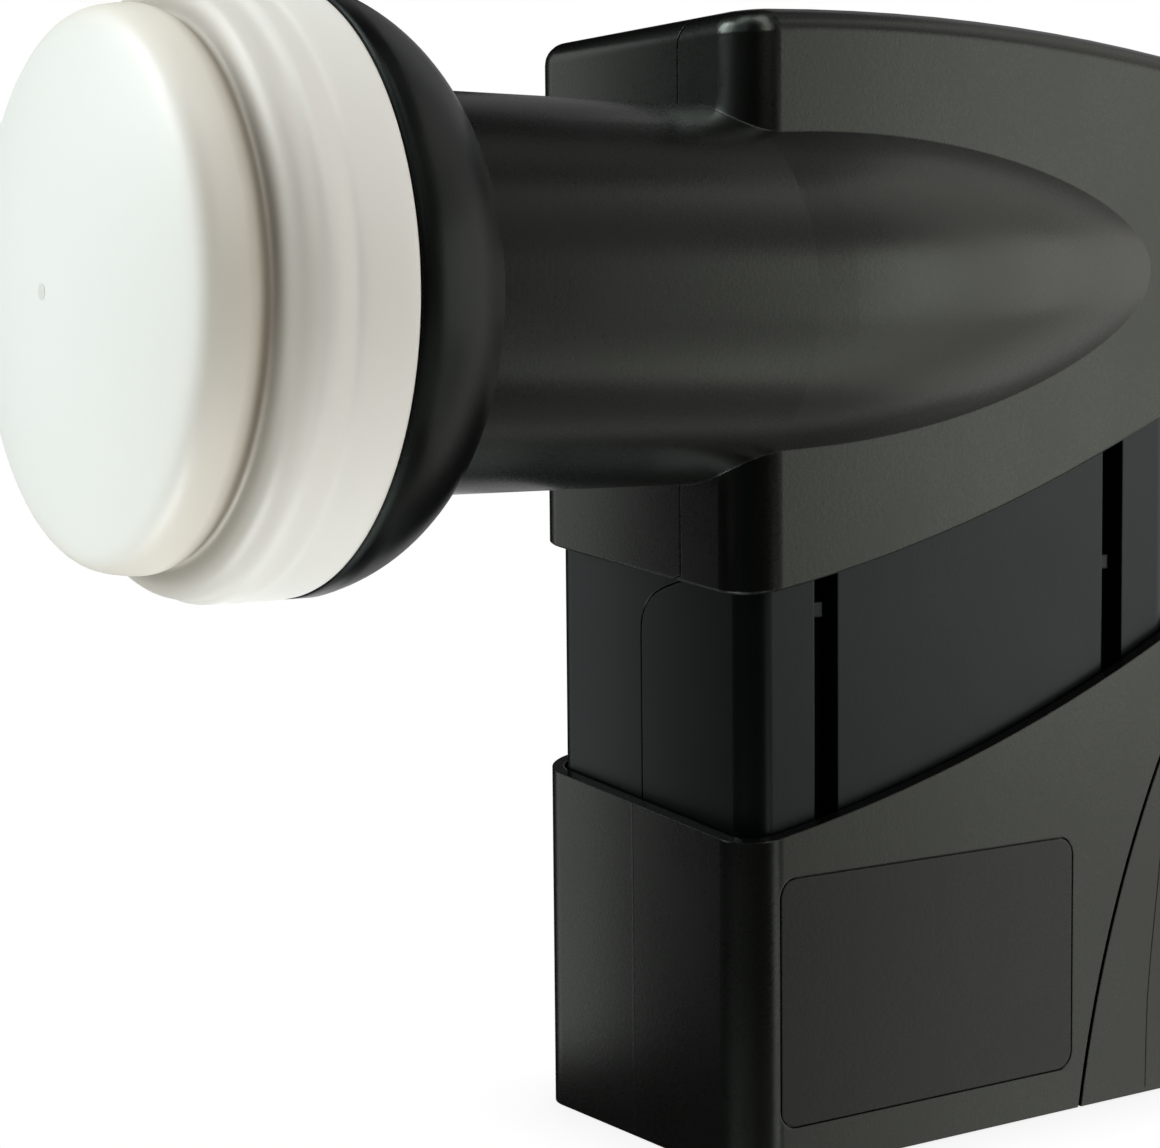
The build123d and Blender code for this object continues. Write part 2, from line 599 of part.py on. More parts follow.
def board_chips():
    """The converter chips on the board's outer face, under the shield."""
    y0, y1, z0, z1 = shield_edges()
    width, height, thickness = CHIP_SIZE
    chips = []
    for i in range(CHIP_COUNT):
        y = y0 + (y1 - y0) * (i + 1) / (CHIP_COUNT + 1)
        z = z0 + (z1 - z0) / 4
        chips.append(box_between(BOARD_FACE_X - thickness, BOARD_FACE_X, y - width / 2, y + width / 2,
                                 z - height / 2, z + height / 2))
    return chips


def board_shield():
    """The pressed can over the board, screwed through to the tray."""
    y0, y1, z0, z1 = shield_edges()
    outer_x = BOARD_FACE_X - SHIELD_HEIGHT
    can = box_between(outer_x, BOARD_FACE_X, y0, y1, z0, z1)
    can -= box_between(outer_x + SHIELD_WALL, BOARD_FACE_X + OVERCUT, y0 + SHIELD_WALL, y1 - SHIELD_WALL,
                       z0 + SHIELD_WALL, z1 - SHIELD_WALL)
    for y, z in shield_screw_places():
        can -= rod((outer_x - OVERCUT, y, z), (outer_x + 2 * SHIELD_WALL, y, z), SCREW_R + SEAT_CLEARANCE)
    return can


def screw(head_x, tip_x, y, z):
    """A pan-head screw along +X, its head under surface at head_x."""
    head = rod((head_x - SCREW_HEAD_HEIGHT, y, z), (head_x, y, z), SCREW_HEAD_R)
    return head + rod((head_x, y, z), (tip_x, y, z), SCREW_R)


def shield_screws():
    """The screws of the shield."""
    outer_x = BOARD_FACE_X - SHIELD_HEIGHT
    return [screw(outer_x, BOARD_SEAT_X + TRAY_WALL, y, z) for y, z in shield_screw_places()]


def chassis_screws():
    """The screws that hold the tray to the near shell's posts."""
    return [screw(BOARD_FACE_X, BOARD_SEAT_X + TRAY_WALL + SCREW_BITE, y, z) for y, z in POST_PLACES]


def f_connector(y):
    """One F connector: a shank in the bar, a hexagon under the floor and a plain length for the thread."""
    hexagon = RegularPolygon(HEX_ACROSS_FLATS / 2, 6, major_radius=False)
    collar = Pos(MID_X, y, CONNECTOR_HEX_LOW_Z) * extrude(hexagon, HEX_HEIGHT)
    shank = upright(y, SHANK_R, CONNECTOR_HEX_LOW_Z, BAR_TOP_Z)
    thread = upright(y, THREAD_R, CONNECTOR_TIP_Z, CONNECTOR_HEX_LOW_Z)
    bore = upright(y, CONNECTOR_BORE_R, CONNECTOR_TIP_Z + CONNECTOR_LIP, BAR_TOP_Z + OVERCUT)
    mouth = upright(y, CONNECTOR_BORE_R - CONNECTOR_LIP, CONNECTOR_TIP_Z - OVERCUT, CONNECTOR_HEX_LOW_Z)
    return shank + collar + thread - bore - mouth


def connector_insulator(y):
    """The plastic core of a connector."""
    core = upright(y, CONNECTOR_BORE_R - SEAT_CLEARANCE, CONNECTOR_TIP_Z + CONNECTOR_LIP, BAR_TOP_Z)
    return core - upright(y, CONTACT_R + SEAT_CLEARANCE, CONNECTOR_TIP_Z, BAR_TOP_Z + OVERCUT)


def connector_contact(y):
    """The brass contact in a connector's core, with a tail for the board's wire."""
    return upright(y, CONTACT_R, CONNECTOR_TIP_Z + 2 * CONNECTOR_LIP, BAR_TOP_Z + CONTACT_TAIL)


def connector_seal(y):
    """The rubber washer between a connector's hexagon and the floor."""
    low_z = CONNECTOR_HEX_LOW_Z + HEX_HEIGHT
    washer = upright(y, HEX_ACROSS_FLATS / 2, low_z, BODY_BOTTOM_Z)
    return washer - upright(y, SHANK_R + SEAT_CLEARANCE, low_z - OVERCUT, BODY_BOTTOM_Z + OVERCUT)


def build_parts():
    """Every node by name."""
    parts = {
        "feed_cap": feed_cap(),
        "cap_seal": cap_seal(),
        "neck_collar": neck_collar(),
        "housing_right": housing_right(),
        "housing_left": housing_half(-SEAM_GAP / 2, far_side=True),
        "chassis_casting": chassis_casting(),
        "probe_horizontal": probe_horizontal(),
        "probe_vertical": probe_vertical(),
        "probe_insulators": Compound(probe_insulators()),
        "main_board": main_board(),
        "board_chips": Compound(board_chips()),
        "board_shield": board_shield(),
        "shield_screws": Compound(shield_screws()),
        "chassis_screws": Compound(chassis_screws()),
        "weather_sleeve": weather_sleeve(),
        "label_plate": label_plate(),
    }
    for i, y in enumerate(CONNECTOR_YS, start=1):
        parts[f"f_connector_{i}"] = f_connector(y)
        parts[f"connector_insulator_{i}"] = connector_insulator(y)
        parts[f"connector_contact_{i}"] = connector_contact(y)
        parts[f"connector_seal_{i}"] = connector_seal(y)
    return parts


os.makedirs("parts", exist_ok=True)
for name, shape in build_parts().items():
    export_step(shape, f"parts/{name}.step")
    print(name, len(shape.solids()), "solid(s)", round(shape.volume), "mm3")
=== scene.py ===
# %% [markdown]
# # A satellite LNB with a sliding weather sleeve
# The real object sits in the clamp of a dish arm. A white cap covers its feed, a black collar holds the
# cap, and a slim black housing hangs below with its sockets pointing down, inside a sleeve that slides over
# them. The imported CAD model is loaded first, because every size and every moving body comes from it. Its
# box is kept, and the floor is set at its foot.

# %% Load the frame
import json
import math

import bpy
from mathutils import Matrix, Vector


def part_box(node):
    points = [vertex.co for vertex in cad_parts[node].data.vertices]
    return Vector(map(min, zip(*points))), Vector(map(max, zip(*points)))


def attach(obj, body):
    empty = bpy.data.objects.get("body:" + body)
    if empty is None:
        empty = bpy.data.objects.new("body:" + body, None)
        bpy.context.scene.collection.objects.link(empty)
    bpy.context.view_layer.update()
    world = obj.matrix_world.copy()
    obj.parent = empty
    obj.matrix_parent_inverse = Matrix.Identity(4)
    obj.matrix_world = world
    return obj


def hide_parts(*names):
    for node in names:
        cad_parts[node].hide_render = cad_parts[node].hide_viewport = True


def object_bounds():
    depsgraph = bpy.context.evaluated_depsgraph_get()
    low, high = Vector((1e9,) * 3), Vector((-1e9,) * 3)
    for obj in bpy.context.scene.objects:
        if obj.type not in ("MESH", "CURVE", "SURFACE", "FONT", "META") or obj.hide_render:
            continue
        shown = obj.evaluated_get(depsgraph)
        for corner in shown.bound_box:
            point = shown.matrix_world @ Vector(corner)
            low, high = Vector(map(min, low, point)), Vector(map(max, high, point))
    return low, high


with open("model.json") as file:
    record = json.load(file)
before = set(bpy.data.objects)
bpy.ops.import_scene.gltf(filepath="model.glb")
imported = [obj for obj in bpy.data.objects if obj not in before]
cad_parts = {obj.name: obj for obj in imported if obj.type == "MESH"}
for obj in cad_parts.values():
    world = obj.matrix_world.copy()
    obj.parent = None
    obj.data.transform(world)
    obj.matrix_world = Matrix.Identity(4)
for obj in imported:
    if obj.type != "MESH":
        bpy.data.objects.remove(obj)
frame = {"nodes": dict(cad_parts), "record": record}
cad_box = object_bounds()
nodes = frame["nodes"]
mounts = {mount["name"]: mount for mount in frame["record"]["mounts"]}
MM = 0.001

# %% [markdown]
# ## Helpers for finishes
# A colour picked from a screen is an sRGB value, but a shader works in linear light, so one function turns
# a hex value into linear numbers. A second adds one node to a material, with its options, its values and
# its links. A third starts a material with plain values on its shader's own sockets, and a fourth turns a
# real size into the scale of a texture. Those four are enough for every finish below.

# %% Helpers for finishes
def linear(hex_colour):
    """An sRGB hex value as linear red, green, blue and alpha, by the curve of the sRGB standard."""
    channels = [int(hex_colour[i:i + 2], 16) / 255 for i in (1, 3, 5)]
    return [c / 12.92 if c <= 0.04045 else ((c + 0.055) / 1.055) ** 2.4 for c in channels] + [1.0]


def add(tree, kind, inputs=None, **options):
    """Adds a node, sets its options and values, and links each input that is given as an output socket."""
    node = tree.nodes.new(kind)
    for option, value in options.items():
        setattr(node, option, value)
    for socket, value in (inputs or {}).items():
        if isinstance(value, bpy.types.NodeSocket):
            tree.links.new(value, node.inputs[socket])
        else:
            node.inputs[socket].default_value = value
    return node


def start_finish(name, hex_colour, roughness, **values):
    """A new material with its shader's plain values set; returns the material, its tree and its shader."""
    finish = bpy.data.materials.new(name)
    finish.use_nodes = True
    tree = finish.node_tree
    shader = tree.nodes["Principled BSDF"]
    shader.inputs["Base Color"].default_value = linear(hex_colour)
    shader.inputs["Roughness"].default_value = roughness
    for socket, value in values.items():
        shader.inputs[socket.replace("_", " ")].default_value = value
    return finish, tree, shader


def per_metre(millimetres):
    """The texture scale whose features are about this many millimetres across."""
    return 1 / (millimetres * MM)


finishes = {}
print("white is", [round(c, 3) for c in linear("#ffffff")])

# %% [markdown]
# ## Black ASA with a spark-eroded grain
# The housing, the sleeve and the collar are moulded in black ASA, a plastic that stands sunlight. The mould
# is spark-eroded, so the surface carries a fine random grain and looks dark grey where it mirrors a lamp
# and nearly black elsewhere. Noise in Object coordinates drives a bump and a small change of gloss, and the
# Bevel node rounds the look of each moulded edge by a quarter of a millimetre. The real grain is about
# 0.1 mm wide and would not show, so it is drawn at 0.45 mm. A tint of the mirrored light gives the faint
# green-grey of the real plastic. The slim body that the sleeve covers came out of a finer part of the mould
# and looks bluer and duller, so it gets a finish of its own, and so do the collar and the bare label plate.

# %% Black plastics
PLASTIC_IOR = 1.5
PLAIN_SPECULAR = 0.5
GRAIN_MM = 0.45
GRAIN_DEPTH_MM = 0.008
BLOTCH_MM = 14.0
EDGE_MM = 0.25
GLOSS_SPREAD = 0.03
NOISE_SUM_LOW, NOISE_SUM_HIGH = 0.6, 1.4


def moulded_black(name, hex_colour, roughness, tint, specular=PLAIN_SPECULAR, grain_mm=GRAIN_MM,
                  edge_mm=EDGE_MM):
    """A black moulded plastic whose grain and slow change of gloss come from two sizes of noise."""
    finish, tree, shader = start_finish(name, hex_colour, roughness, IOR=PLASTIC_IOR, Specular_Tint=tint,
                                        Specular_IOR_Level=specular)
    place = add(tree, "ShaderNodeTexCoord").outputs["Object"]
    grain = add(tree, "ShaderNodeTexNoise", {"Vector": place, "Scale": per_metre(grain_mm), "Detail": 2.0,
                                             "Roughness": 0.6})
    blotch = add(tree, "ShaderNodeTexNoise", {"Vector": place, "Scale": per_metre(BLOTCH_MM),
                                              "Detail": 3.0})
    mixed = add(tree, "ShaderNodeMath", {0: grain.outputs["Fac"], 1: blotch.outputs["Fac"]},
                operation="ADD")
    gloss = add(tree, "ShaderNodeMapRange", {"Value": mixed.outputs[0],
                                             "From Min": NOISE_SUM_LOW, "From Max": NOISE_SUM_HIGH,
                                             "To Min": roughness - GLOSS_SPREAD,
                                             "To Max": roughness + GLOSS_SPREAD})
    tree.links.new(gloss.outputs["Result"], shader.inputs["Roughness"])
    edge = add(tree, "ShaderNodeBevel", {"Radius": edge_mm * MM}, samples=4)
    bump = add(tree, "ShaderNodeBump", {"Height": grain.outputs["Fac"], "Strength": 1.0,
                                        "Distance": GRAIN_DEPTH_MM * MM, "Normal": edge.outputs["Normal"]})
    tree.links.new(bump.outputs["Normal"], shader.inputs["Normal"])
    return finish


# Housing and sleeve: a soft sheen that shows the grain where a lamp is mirrored.
finishes["housing_plastic"] = moulded_black("black_asa_spark_grain", "#060605", 0.28,
                                            tint=(0.89, 1.0, 0.89, 1.0))
# Collar: a finer grain and a broad soft edge, so its bulge is dark with one wide, weak glint.
finishes["collar"] = moulded_black("black_asa_smooth_collar", "#060606", 0.29, tint=(0.80, 1.0, 0.90, 1.0),
                                   specular=0.17, grain_mm=0.35, edge_mm=1.6)
# Slim body: duller and bluer, like slate.
finishes["slim_body"] = moulded_black("black_asa_fine_blue", "#050606", 0.32, tint=(0.82, 1.0, 1.0, 1.0),
                                      specular=0.26, grain_mm=0.35)
# Label plate: as glossy as the sleeve round it, but darker and more even.
finishes["label_plastic"] = moulded_black("black_polycarbonate_satin_plate", "#060606", 0.28,
                                          tint=(0.89, 1.0, 0.90, 1.0), specular=0.34, grain_mm=0.6)
print(len(finishes), "black plastics, with a grain of", GRAIN_MM, "mm on the housing")

# %% [markdown]
# ## White cap plastic
# The cap is thin white polypropylene that lets the radio waves through. It is moulded with a satin face.
# Painted shade darkens the valley behind the dome, where the Ambient Occlusion node finds it by its
# closeness, and thins out on the flange behind it. A colour ramp along the axis gives that painted shade,
# and a slow noise makes its edge wander.

# %% White polypropylene
POLYPROPYLENE_IOR = 1.49
CLOUD_MM = 9.0
WANDER_MM = 0.8
RAMP_FROM_MM, RAMP_TO_MM = -54.0, -30.0
# Painted shade along the axis: darker tones at the back of the dome, in the valley and at the front of the
# flange.
VALLEY_SHADE_RAMP = [(-54.0, "#f5f6ef"), (-49.6, "#f4f5ed"), (-48.4, "#efebdf"), (-45.2, "#ece7da"),
             (-43.4, "#bdb6a7"), (-42.2, "#d3cec3"), (-40.6, "#e2dfd6"), (-38.8, "#f4f3eb"),
             (-30.0, "#f7f7f0")]
VALLEY_MM = 3.0
VALLEY_SHADE_TONE = "#776d5e"
SHADED_AO, UNSHADED_AO = 0.35, 0.85
SATIN_MM = 0.6
SATIN_DEPTH_MM = 0.002
finish, tree, shader = start_finish("white_polypropylene_satin", "#f4f5ee", 0.42, IOR=POLYPROPYLENE_IOR)
place = add(tree, "ShaderNodeTexCoord").outputs["Object"]
along = add(tree, "ShaderNodeSeparateXYZ", {"Vector": place}).outputs["Y"]
cloud = add(tree, "ShaderNodeTexNoise", {"Vector": place, "Scale": per_metre(CLOUD_MM), "Detail": 3.0})
wander = add(tree, "ShaderNodeMath", {0: cloud.outputs["Fac"], 1: WANDER_MM * MM, 2: along},
             operation="MULTIPLY_ADD")
share = add(tree, "ShaderNodeMapRange", {"Value": wander.outputs[0], "From Min": RAMP_FROM_MM * MM,
                                         "From Max": RAMP_TO_MM * MM})
ramp = add(tree, "ShaderNodeValToRGB", {"Fac": share.outputs["Result"]})
for y_mm, _ in VALLEY_SHADE_RAMP[1:-1]:
    ramp.color_ramp.elements.new((y_mm - RAMP_FROM_MM) / (RAMP_TO_MM - RAMP_FROM_MM))
for stop, (_, hex_colour) in zip(ramp.color_ramp.elements, VALLEY_SHADE_RAMP):
    stop.color = linear(hex_colour)
# Painted shade in the valley: where the walls close in, the colour turns to the dark valley tone.
nook = add(tree, "ShaderNodeAmbientOcclusion", {"Distance": VALLEY_MM * MM}, samples=8, only_local=True)
unshaded_share = add(tree, "ShaderNodeMapRange", {"Value": nook.outputs["AO"], "From Min": SHADED_AO,
                                         "From Max": UNSHADED_AO})
painted_shade = add(tree, "ShaderNodeMix", {"Factor": unshaded_share.outputs["Result"], "A": linear(VALLEY_SHADE_TONE),
                                    "B": ramp.outputs["Color"]}, data_type="RGBA")
tree.links.new(painted_shade.outputs["Result"], shader.inputs["Base Color"])
satin = add(tree, "ShaderNodeTexNoise", {"Vector": place, "Scale": per_metre(SATIN_MM), "Detail": 2.0})
bump = add(tree, "ShaderNodeBump", {"Height": satin.outputs["Fac"], "Strength": 1.0,
                                    "Distance": SATIN_DEPTH_MM * MM})
tree.links.new(bump.outputs["Normal"], shader.inputs["Normal"])
finishes["cap_plastic"] = finish
print("cap finish with", len(VALLEY_SHADE_RAMP), "tones along the axis")

# %% [markdown]
# ## The other finishes
# The seals are black rubber, and the inside has cast and pressed aluminium, nickel, brass, white insulator
# plastic, a green board and black chips. Each has one noise that breaks up its gloss, so one loop makes
# them from a table of real materials: name, colour, roughness, metallic, grain width, gloss spread and
# grain depth, the last three for the noise. A line above each row says what it gives the eye.

# %% A table of smaller finishes
NOISE_LOW, NOISE_HIGH = 0.3, 0.7
TABLE = {
    # Dull black with hardly a glint.
    "seal_rubber": ("moulded_nitrile_rubber", "#0d0d0d", 0.62, 0.0, 0.5, 0.06, 0.008),
    # Pale grey, pebbled by the die, with a wide soft shine.
    "cast_aluminium": ("die_cast_aluminium", "#b9bbbd", 0.46, 1.0, 0.8, 0.10, 0.020),
    # Brighter and smoother than the casting.
    "shield_aluminium": ("pressed_aluminium_sheet", "#cfd0d1", 0.32, 1.0, 1.5, 0.08, 0.004),
    # Yellow, with the clear shine of a turned face.
    "contact_brass": ("turned_brass", "#c9a24f", 0.26, 1.0, 0.3, 0.08, 0.002),
    # Waxy warm white.
    "insulator_plastic": ("white_ptfe_insulator", "#e6e4dc", 0.48, 0.0, 0.6, 0.06, 0.004),
    # Deep green, half glossy, with the weave just felt below it.
    "board_laminate": ("green_solder_mask_on_glass_laminate", "#1f5a30", 0.34, 0.0, 1.2, 0.06, 0.006),
    # Matt charcoal.
    "chip_plastic": ("moulded_epoxy", "#161617", 0.52, 0.0, 0.4, 0.06, 0.006),
    # Cool silver, slightly cloudy.
    "screw_steel": ("zinc_plated_steel", "#b4b6b8", 0.30, 1.0, 0.5, 0.10, 0.003),
    # Warm silver, the clearest mirror of all.
    "connector_nickel": ("nickel_plated_brass", "#c3bfb4", 0.22, 1.0, 0.6, 0.08, 0.002),
}
for slot, (name, hex_colour, roughness, metallic, grain_mm, spread, depth_mm) in TABLE.items():
    finish, tree, shader = start_finish(name, hex_colour, roughness, Metallic=metallic)
    place = add(tree, "ShaderNodeTexCoord").outputs["Object"]
    grain = add(tree, "ShaderNodeTexNoise", {"Vector": place, "Scale": per_metre(grain_mm), "Detail": 3.0})
    gloss = add(tree, "ShaderNodeMapRange", {"Value": grain.outputs["Fac"],
                                             "From Min": NOISE_LOW, "From Max": NOISE_HIGH,
                                             "To Min": roughness - spread, "To Max": roughness + spread})
    tree.links.new(gloss.outputs["Result"], shader.inputs["Roughness"])
    bump = add(tree, "ShaderNodeBump", {"Height": grain.outputs["Fac"], "Strength": 1.0,
                                        "Distance": depth_mm * MM})
    tree.links.new(bump.outputs["Normal"], shader.inputs["Normal"])
    finishes[slot] = finish
print(len(finishes), "finishes")

# %% [markdown]
# ## Finishes on the CAD nodes
# The record says which slot each node takes. A half shell carries two finishes: its faces on the slim body,
# which lie inside the sleeve's outline and below the top of the hem, take the finer one. A face is sorted
# by where its middle is, so no mesh is changed.

# %% Dress the CAD nodes
for subpart in frame["record"]["subparts"]:
    mesh = nodes[subpart["node"]].data
    mesh.materials.clear()
    mesh.materials.append(finishes[subpart["material_slot"]])
nodes["neck_collar"].data.materials[0] = finishes["collar"]

WALL = 1.0 * MM
HEM_TOP = -6.0 * MM
sleeve_low, sleeve_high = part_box("weather_sleeve")
for name in ("housing_right", "housing_left"):
    mesh = nodes[name].data
    mesh.materials.append(finishes["slim_body"])
    fine = 0
    for face in mesh.polygons:
        x, y, z = face.center
        inside_x = sleeve_low.x + WALL < x < sleeve_high.x - WALL
        inside_y = sleeve_low.y + WALL < y < sleeve_high.y - WALL
        if inside_x and inside_y and z < HEM_TOP:
            face.material_index = 1
            fine += 1
    print(name, fine, "faces of the slim body")

# %% [markdown]
# ## Drawing by hand
# The new pieces below start as an outline. It could be written down as a finished mesh, but extruding a
# single vertex along the outline is how it is drawn by hand, and every later step is then one tool.

# %% Drawing helpers
WELD = 0.002 * MM
FINE_WELD = 0.001 * MM


def select_only(piece):
    """Makes one object the only selected and active one."""
    bpy.ops.object.select_all(action="DESELECT")
    piece.select_set(True)
    bpy.context.view_layer.objects.active = piece


def draw_outline(name, points):
    """A chain of edges drawn by extruding one vertex; it is left in edit mode, all selected."""
    bpy.ops.object.select_all(action="DESELECT")
    bpy.ops.mesh.primitive_plane_add(size=MM, location=(0, 0, 0))
    piece = bpy.context.object
    piece.name = name
    bpy.ops.object.mode_set(mode="EDIT")
    bpy.ops.mesh.select_all(action="SELECT")
    bpy.ops.mesh.merge(type="CENTER")
    bpy.ops.transform.translate(value=points[0])
    for start, end in zip(points, points[1:]):
        step = [b - a for a, b in zip(start, end)]
        bpy.ops.mesh.extrude_vertices_move(TRANSFORM_OT_translate={"value": step})
    bpy.ops.mesh.select_all(action="SELECT")
    return piece


def clean_edit_mesh(distance):
    """Merges doubles, turns all faces outwards and leaves edit mode."""
    bpy.ops.mesh.select_all(action="SELECT")
    bpy.ops.mesh.remove_doubles(threshold=distance)
    bpy.ops.mesh.normals_make_consistent(inside=False)
    bpy.ops.object.mode_set(mode="OBJECT")


print("points closer than", WELD / MM, "mm are merged")

# %% [markdown]
# ## F sockets with a real thread
# A coaxial plug screws on a 3/8-32 thread below a hexagon. The CAD model has a plain cylinder there, so the
# thread is made here. A helix could be cut by a boolean, but one tooth's outline swept by the Screw
# modifier is cleaner. Its ends are then cut flat by bisecting.

# %% The thread
socket = mounts["f_socket_1"]
socket_x, socket_y, _ = socket["pos_m"]
socket_low, socket_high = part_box("f_connector_1")
thread_height = socket["dims"]["length_mm"] * MM
thread_top = socket_low.z + thread_height
PITCH = 25.4 / 32 * MM
CREST_R = socket["dims"]["r_mm"] * MM
ROOT_R = CREST_R - 0.6 * PITCH
TURNS = 15
STEPS_PER_TURN = 32
LEAD_IN = 0.7 * MM
tooth = [(ROOT_R, 0, 0), (ROOT_R, 0, PITCH / 8), (CREST_R, 0, 7 / 16 * PITCH),
         (CREST_R, 0, 9 / 16 * PITCH), (ROOT_R, 0, 7 / 8 * PITCH), (ROOT_R, 0, PITCH)]
thread = draw_outline("thread", tooth)
bpy.ops.object.mode_set(mode="OBJECT")
sweep = thread.modifiers.new("sweep", "SCREW")
sweep.screw_offset = PITCH
sweep.iterations = TURNS
sweep.steps = STEPS_PER_TURN
sweep.render_steps = STEPS_PER_TURN
sweep.use_merge_vertices = True
sweep.merge_threshold = FINE_WELD
bpy.ops.object.modifier_apply(modifier="sweep")
bpy.ops.object.mode_set(mode="EDIT")
for height, side in ((PITCH, -1), (PITCH + thread_height - LEAD_IN, 1)):
    bpy.ops.mesh.select_all(action="SELECT")
    bpy.ops.mesh.bisect(plane_co=(0, 0, height), plane_no=(0, 0, side), use_fill=True, clear_outer=True)
clean_edit_mesh(WELD)
bpy.ops.transform.translate(value=(0, 0, socket_low.z + LEAD_IN - PITCH))
bpy.ops.object.transform_apply(location=True)
print(len(thread.data.polygons), "faces in the thread, up to", round(thread_top / MM, 2), "mm")

# %% [markdown]
# ## The socket's body and its hexagon
# The body is a turned tube with a narrow mouth for the plug's pin, so one more outline is spun round the
# axis, as on a lathe. The hexagon, for a spanner, is a six-sided cylinder with bevelled edges.

# %% The body and the hexagon
MOUTH_R = 2.3 * MM
BORE_R = 3.3 * MM
SHANK_R = 4.9 * MM
LIP = 1.0 * MM
TIP_CHAMFER = 0.15 * MM
BODY_STEPS = 48
HEX_CORNER_R = (socket_high.x - socket_low.x) / 2
HEX_HEIGHT = 3.0 * MM
HEX_BEVEL = 0.3 * MM
tip_z = socket_low.z
body_points = [(MOUTH_R, tip_z + LIP), (MOUTH_R, tip_z), (ROOT_R - TIP_CHAMFER, tip_z),
               (ROOT_R, tip_z + LEAD_IN), (ROOT_R, thread_top), (SHANK_R, thread_top),
               (SHANK_R, socket_high.z), (BORE_R, socket_high.z), (BORE_R, tip_z + LIP),
               (MOUTH_R, tip_z + LIP)]
body = draw_outline("socket_body", [(r, 0, z) for r, z in body_points])
bpy.ops.mesh.spin(steps=BODY_STEPS, angle=2 * math.pi, center=(0, 0, 0), axis=(0, 0, 1))
clean_edit_mesh(WELD)
bpy.ops.object.select_all(action="DESELECT")
bpy.ops.mesh.primitive_cylinder_add(vertices=6, radius=HEX_CORNER_R, depth=HEX_HEIGHT,
                                    location=(0, 0, thread_top + HEX_HEIGHT / 2),
                                    rotation=(0, 0, math.radians(90)))
hexagon = bpy.context.object
bpy.ops.object.transform_apply(location=True, rotation=True)
bpy.ops.object.mode_set(mode="EDIT")
bpy.ops.mesh.select_all(action="SELECT")
bpy.ops.mesh.bevel(offset=HEX_BEVEL, segments=2)
bpy.ops.object.mode_set(mode="OBJECT")
print(len(body.data.polygons), "faces in the body,", len(hexagon.data.polygons), "in the hexagon")

# %% [markdown]
# ## Four sockets in a row
# The real sockets are four of one kind, so the three pieces are joined, put at the first place and copied
# to the other three. Each copy's move is applied, so that its origin stays at the frame's.

# %% Four sockets
SOCKET_CREASE = math.radians(35)
select_only(body)
thread.select_set(True)
hexagon.select_set(True)
bpy.ops.object.join()
bpy.ops.object.shade_smooth_by_angle(angle=SOCKET_CREASE)
body.name = "f_socket_1"
body.data.materials.clear()
body.data.materials.append(finishes["connector_nickel"])
bpy.ops.transform.translate(value=(socket_x, socket_y, 0))
bpy.ops.object.transform_apply(location=True)
sockets = [body]
for number in (2, 3, 4):
    select_only(body)
    bpy.ops.object.duplicate()
    copy = bpy.context.object
    copy.name = f"f_socket_{number}"
    bpy.ops.transform.translate(value=(0, mounts[copy.name]["pos_m"][1] - socket_y, 0))
    bpy.ops.object.transform_apply(location=True)
    sockets.append(copy)
for number, piece in enumerate(sockets, start=1):
    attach(piece, "housing")
    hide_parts(f"f_connector_{number}")
print(len(sockets), "sockets")

# %% [markdown]
# ## The feed cap
# The white cap is one thin moulded wall: a shallow dome with a soft edge, a valley behind it, and a flange
# whose side swells softly in three bands. The solid model has these as plain steps. Here the wall's outline
# is drawn once, spun round the neck's axis and subdivided, which turns the steps into soft swells. The
# points are radius and place along the axis in millimetres, and the inner ones are the solid's, so the cap
# stays on its collar.

# %% Feed cap
DOME = [(0, -53.3), (0.6, -53.298), (6, -53.09), (12, -52.45), (18, -51.36), (22, -50.39), (23.8, -49.88),
        (24.6, -49.58), (25.2, -49.15), (25.65, -48.6), (25.95, -47.8), (26.2, -46.4)]
VALLEY = [(26.3, -45.3), (26.25, -44.7), (26.05, -44.1), (25.75, -43.6), (25.55, -43.25), (25.6, -42.95),
          (26.0, -42.75)]
FLANGE = [(26.85, -42.6), (27.7, -42.35), (28.35, -41.9), (28.7, -41.2), (28.82, -40.5), (28.92, -39.9),
          (29.2, -39.5), (29.39, -39.0), (29.36, -38.2), (29.2, -37.0), (29.19, -36.6), (29.36, -36.2),
          (29.4, -35.6), (29.33, -31.6), (29.28, -30.75), (29.1, -30.4)]
INSIDE = [(27.8, -30.4), (27.8, -36.4), (27.5, -40.5), (26.5, -41.5), (23.4, -41.5), (23.4, -43.5),
          (24.6, -43.6), (24.3, -47.4), (22.8, -48.9), (18, -49.9), (12, -50.9), (6, -51.5), (0, -51.7)]
CAP_STEPS = 128
cap = draw_outline("feed_cap_soft", [(r * MM, y * MM, 0) for r, y in DOME + VALLEY + FLANGE + INSIDE])
bpy.ops.mesh.spin(steps=CAP_STEPS, angle=2 * math.pi, center=(0, 0, 0), axis=(0, 1, 0))
clean_edit_mesh(WELD)
soften = cap.modifiers.new("soften", "SUBSURF")
soften.levels = 1
soften.render_levels = 1
bpy.ops.object.modifier_apply(modifier="soften")
bpy.ops.object.shade_smooth()
cap.data.materials.append(finishes["cap_plastic"])
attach(cap, "housing")
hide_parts("feed_cap")
print(len(cap.data.polygons), "faces in the cap")

# %% [markdown]
# ## Gate mark on the cap
# The cap is filled with molten plastic through one small hole at the top of its dome, and the cut-off sprue
# leaves a small dull ring there. It could be painted into the finish, but a real ring catches light at its
# rim. A flat cylinder gets its outer face inset and pushed in, then inset once more and pulled out a
# little. Its finish is the cap's plastic, torn by the cut, so it is duller and greyer.

